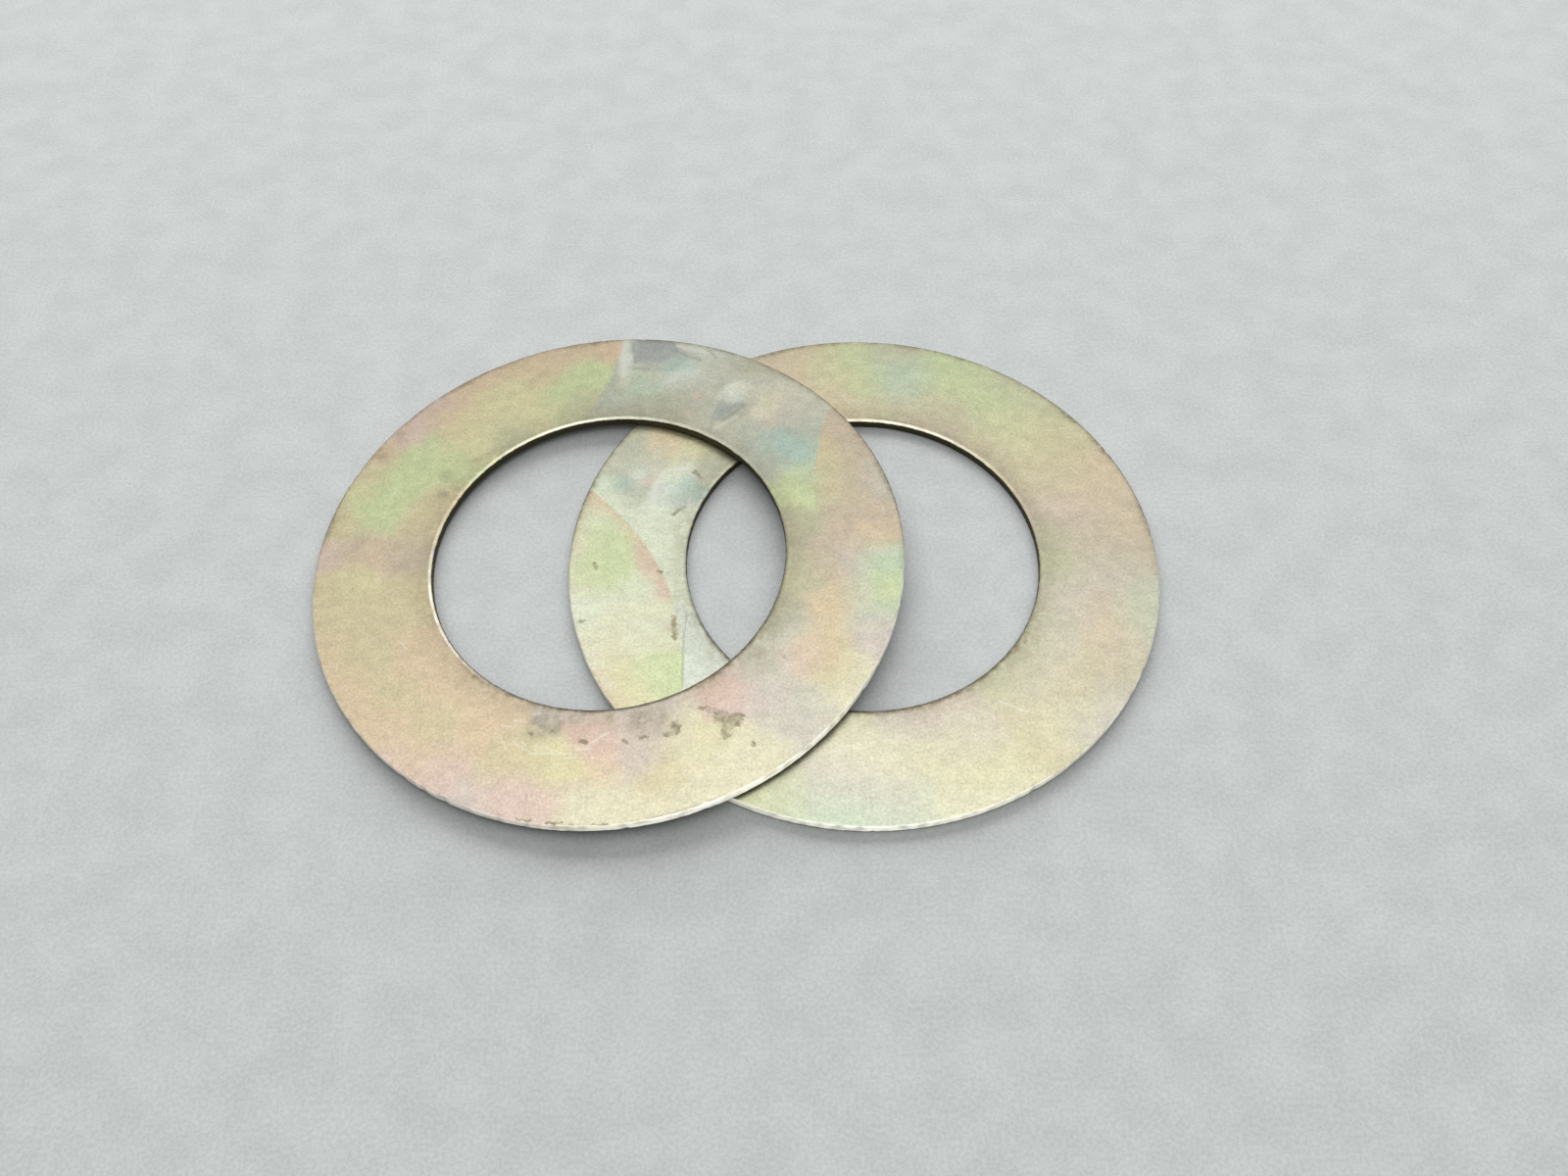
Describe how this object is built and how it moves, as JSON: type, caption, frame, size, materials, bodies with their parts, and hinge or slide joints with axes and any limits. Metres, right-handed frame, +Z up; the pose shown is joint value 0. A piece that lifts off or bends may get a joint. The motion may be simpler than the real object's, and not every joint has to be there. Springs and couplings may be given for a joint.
{
  "type": "flat shim washer",
  "caption": "Loose thin flat steel rings with large plain bores, laid overlapping so that the upper leans on the lower; they space parts along a shaft or pin.",
  "frame": {"origin": "on the surface that the washers lie on, halfway between the middles of their bores, which is the bottom centre of the pair's box", "axes": "+X from the upper, leaning washer's bore to the lower washer's bore, the way the pair is longest; +Y along the line on which the upper washer tips; +Z up, along the lower washer's bore"},
  "size_m": [0.0716, 0.05, 0.0023],
  "materials": {
    "plated_steel": "thin stamped steel with a worn, satin, yellow iridescent zinc plating, faint pink and green bands, grey worn patches and fine scratches"
  },
  "bodies": {
    "lower_washer": {"lower_washer": "plated_steel"},
    "upper_washer": {"upper_washer": "plated_steel"}
  },
  "joints": [
    {"name": "upper_lift", "type": "slide", "parent": "lower_washer", "child": "upper_washer", "axis": [0, 0, 1], "range_m": [0, 0.03]}
  ]
}
